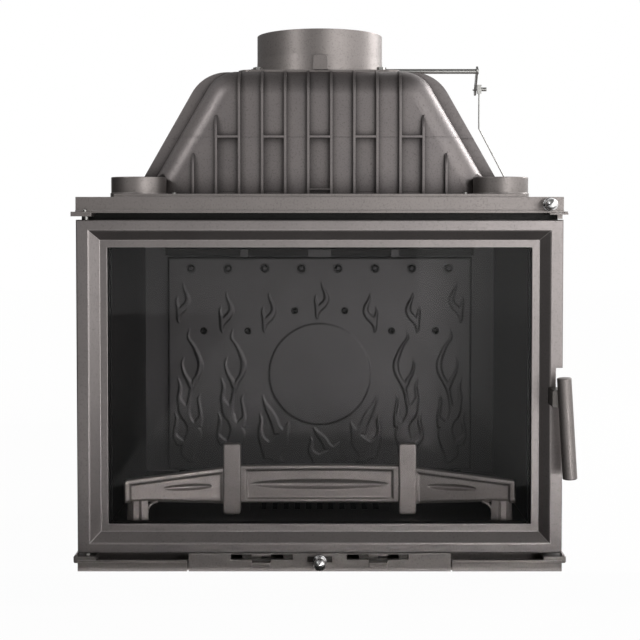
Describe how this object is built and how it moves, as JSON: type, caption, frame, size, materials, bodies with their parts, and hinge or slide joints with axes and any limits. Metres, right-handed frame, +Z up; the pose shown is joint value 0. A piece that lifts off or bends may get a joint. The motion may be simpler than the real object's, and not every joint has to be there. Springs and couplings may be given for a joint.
{
  "type": "fireplace insert",
  "caption": "Cast-iron wood-burning fireplace insert with a glazed side-hinged door, a ribbed smoke hood with a round flue collar and damper, a log fence and an air slider",
  "frame": {"origin": "middle of the base's footprint at floor level, straight below the flue collar's axis", "axes": "+X to the right seen from the front, +Y to the back, +Z up along the flue"},
  "size_m": [0.7216, 0.4594, 0.8005],
  "materials": {
    "graphite_iron": "cast iron, matt graphite-grey stove paint over a fine sand-cast texture",
    "soot_iron": "cast iron, dark matt stove paint dulled by soot",
    "door_iron": "cast iron, smooth-ground and painted matt graphite grey",
    "handle_iron": "turned steel, matt graphite-grey paint",
    "dark_steel": "mild steel, dark grey stove paint",
    "zinc_steel": "steel, dull zinc-plated",
    "chrome": "polished chrome plate",
    "ceramic_glass": "clear heat-proof ceramic glass, faint grey-green tint",
    "seal_rope": "dark grey glass-fibre rope",
    "ash_sheet": "bent steel sheet, matt black"
  },
  "bodies": {
    "root": {"base_casting": "graphite_iron", "air_panel": "graphite_iron", "sill_plate": "dark_steel", "bracket_bottom_left": "graphite_iron", "bracket_bottom_right": "graphite_iron", "bracket_top_left": "graphite_iron", "bracket_top_right": "graphite_iron", "bracket_rivet": "zinc_steel", "hinge_pins": "zinc_steel", "side_wall_left": "graphite_iron", "side_wall_right": "graphite_iron", "rear_wall": "graphite_iron", "wall_fins": "graphite_iron", "side_liner_left": "soot_iron", "side_liner_right": "soot_iron", "front_frame": "graphite_iron", "latch_keeper": "zinc_steel", "tie_rods": "zinc_steel", "top_plate": "graphite_iron", "rod_guide": "dark_steel", "air_wash_duct": "dark_steel", "spigot_left": "graphite_iron", "spigot_right": "graphite_iron", "hood_lower": "graphite_iron", "hood_upper": "graphite_iron", "hood_ribs": "graphite_iron", "hood_studs": "zinc_steel", "flue_collar": "graphite_iron", "collar_lugs": "graphite_iron", "collar_bolts": "zinc_steel", "shaft_bushes": "graphite_iron", "hearth_floor": "soot_iron", "grate_rests": "soot_iron", "ash_pan": "ash_sheet", "fireback": "soot_iron", "fireback_feet": "soot_iron", "baffle_plate": "soot_iron", "baffle_rests": "soot_iron", "baffle_hooks": "soot_iron"},
    "door": {"door_frame": "door_iron", "glass_pane": "ceramic_glass", "glass_clips": "dark_steel", "clip_screws": "zinc_steel", "door_seal": "seal_rope"},
    "handle": {"handle_grip": "handle_iron", "handle_hub": "dark_steel", "latch_shaft": "zinc_steel", "latch_tongue": "zinc_steel"},
    "air_slide": {"air_slider": "dark_steel", "air_knob": "chrome"},
    "damper": {"damper_shaft": "dark_steel", "damper_disc": "dark_steel", "damper_saddles": "dark_steel", "damper_crank": "dark_steel"},
    "damper_rod": {"control_rod": "zinc_steel", "damper_wire": "dark_steel", "wire_clamp": "zinc_steel", "damper_knob": "chrome"},
    "fence": {"log_fence": "graphite_iron"},
    "fire_grate": {"grate": "soot_iron"}
  },
  "joints": [
    {"name": "door_hinge", "type": "hinge", "parent": "root", "child": "door", "pos_m": [-0.338, -0.2, 0.268], "axis": [0, 0, -1], "range_deg": [0, 110]},
    {"name": "handle_turn", "type": "hinge", "parent": "door", "child": "handle", "pos_m": [0.335, -0.21, 0.256], "axis": [0, -1, 0], "range_deg": [0, 75]},
    {"name": "air_slide_x", "type": "slide", "parent": "root", "child": "air_slide", "axis": [1, 0, 0], "range_m": [-0.014, 0.014]},
    {"name": "damper_pull", "type": "slide", "parent": "root", "child": "damper_rod", "axis": [0, -1, 0], "range_m": [0, 0.042]},
    {"name": "damper_turn", "type": "hinge", "parent": "root", "child": "damper", "pos_m": [0, 0, 0.747], "axis": [-1, 0, 0], "range_deg": [0, 74.5]},
    {"name": "fence_lift", "type": "slide", "parent": "root", "child": "fence", "axis": [0, 0, 1], "range_m": [0, 0.06]},
    {"name": "grate_lift", "type": "slide", "parent": "root", "child": "fire_grate", "axis": [0, 0, 1], "range_m": [0, 0.06]}
  ],
  "couplings": [
    {"joint": "damper_turn", "follows": "damper_pull", "rad_per_m": 30.959}
  ]
}
